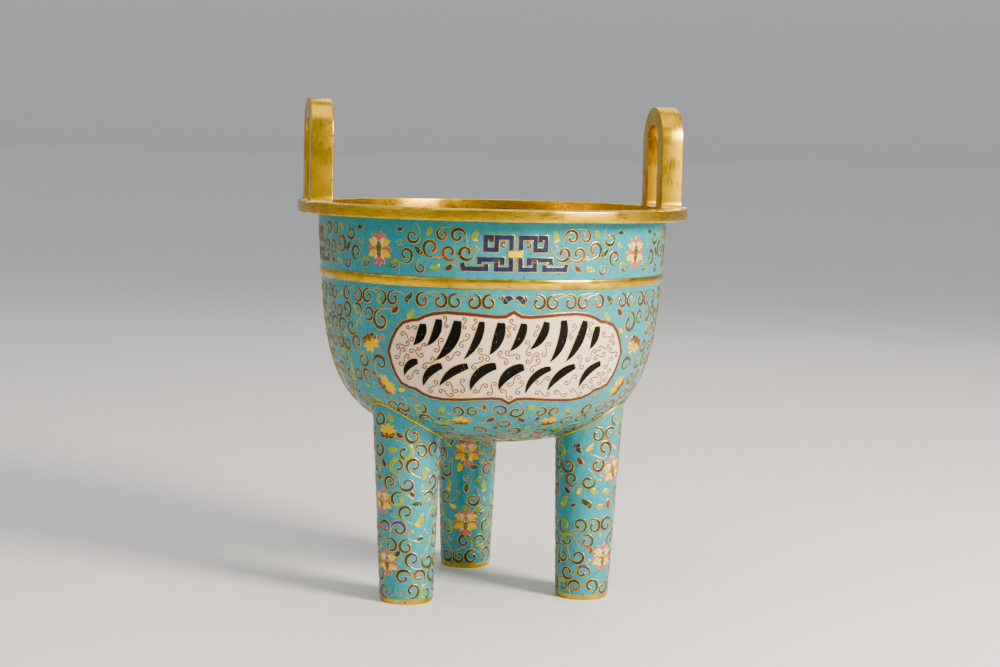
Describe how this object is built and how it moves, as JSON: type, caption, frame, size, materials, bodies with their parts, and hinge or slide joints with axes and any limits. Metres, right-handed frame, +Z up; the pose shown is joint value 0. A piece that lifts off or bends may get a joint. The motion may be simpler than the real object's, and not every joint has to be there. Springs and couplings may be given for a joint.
{
  "type": "tripod incense burner",
  "caption": "Round tripod incense burner with a straight neck, flat rim, upright loop handles and columnar legs, in cloisonne enamel with gilt fittings.",
  "frame": {"origin": "on the bowl's axis, in the plane that the feet stand on", "axes": "+Z up along the bowl's axis; the handles stand at +X and -X, and one leg is at the back, at +Y"},
  "size_m": [0.2382, 0.2382, 0.3],
  "materials": {
    "enamel": "glossy",
    "gilt": "brushed"
  },
  "bodies": {
    "root": {"bowl": "enamel", "rim": "gilt", "band": "gilt", "leg_back": "enamel", "leg_left": "enamel", "leg_right": "enamel", "foot_cap_back": "gilt", "foot_cap_left": "gilt", "foot_cap_right": "gilt", "handle_left": "gilt", "handle_right": "gilt"}
  },
  "joints": []
}
